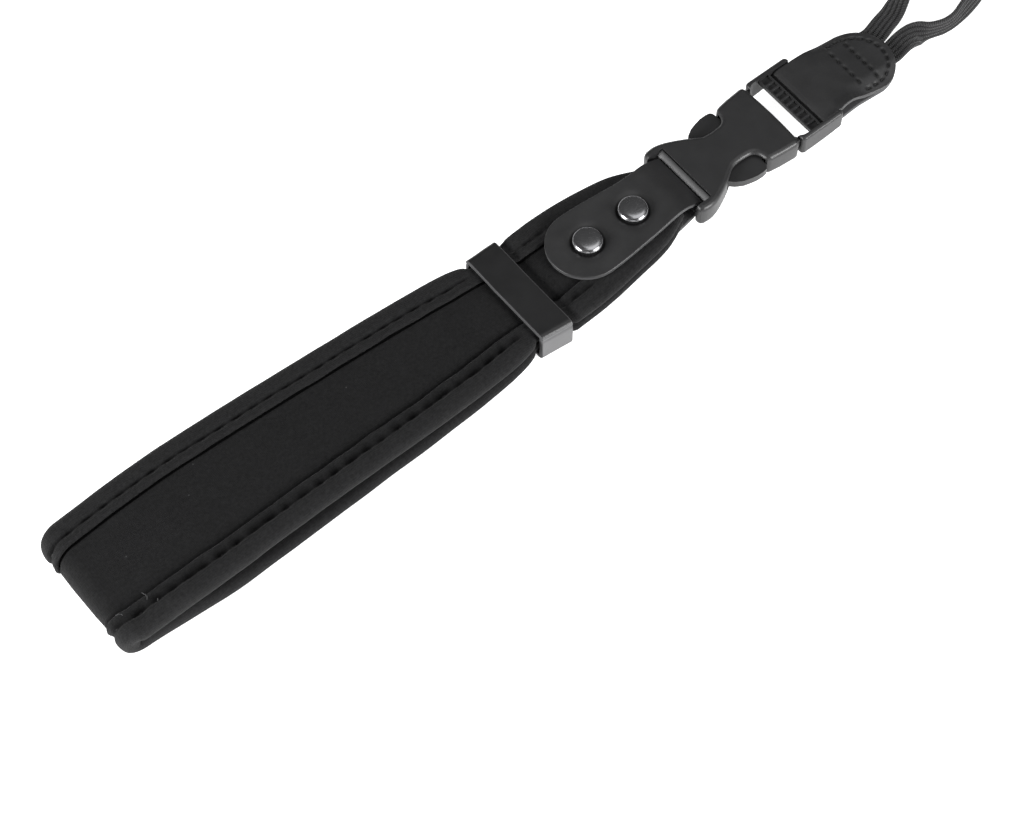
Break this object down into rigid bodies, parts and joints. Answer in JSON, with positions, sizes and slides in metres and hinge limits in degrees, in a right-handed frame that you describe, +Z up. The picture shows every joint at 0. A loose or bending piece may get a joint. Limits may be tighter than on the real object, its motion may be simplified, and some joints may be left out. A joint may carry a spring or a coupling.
{
  "type": "camera wrist strap",
  "caption": "Camera wrist strap lying flat: a padded strip folded into a wrist loop, with a leather keeper, riveted tab, side release buckle and a webbing loop for a camera.",
  "frame": {"origin": "on the flat underside of the pad, in the middle of its width, a third of the way from the fold to the webbing loop", "axes": "+X runs along the strap from the pad's fold to the webbing loop, +Y across it towards the side the loop lies on, and +Z up from the surface it lies on"},
  "size_m": [0.3241, 0.0416, 0.0137],
  "materials": {
    "panel_knit": "black fine knit over foam, dull",
    "binding_knit": "black knit turned over the edge and stitched, dull",
    "leather": "black smooth leather, satin",
    "moulded_plastic": "black moulded plastic, satin",
    "dark_metal": "dark plated metal, glossy",
    "woven_tape": "black woven tape with lengthwise ribs, dull"
  },
  "bodies": {
    "root": {"wrist_pad": "panel_knit", "edge_binding_far": "binding_knit", "edge_binding_near": "binding_knit", "keeper_band": "leather", "rivet_tab": "leather", "rivet_near_keeper": "dark_metal", "rivet_near_buckle": "dark_metal", "buckle_socket": "moulded_plastic", "buckle_plug": "moulded_plastic", "loop_tab": "leather", "webbing_loop": "woven_tape"}
  },
  "joints": []
}
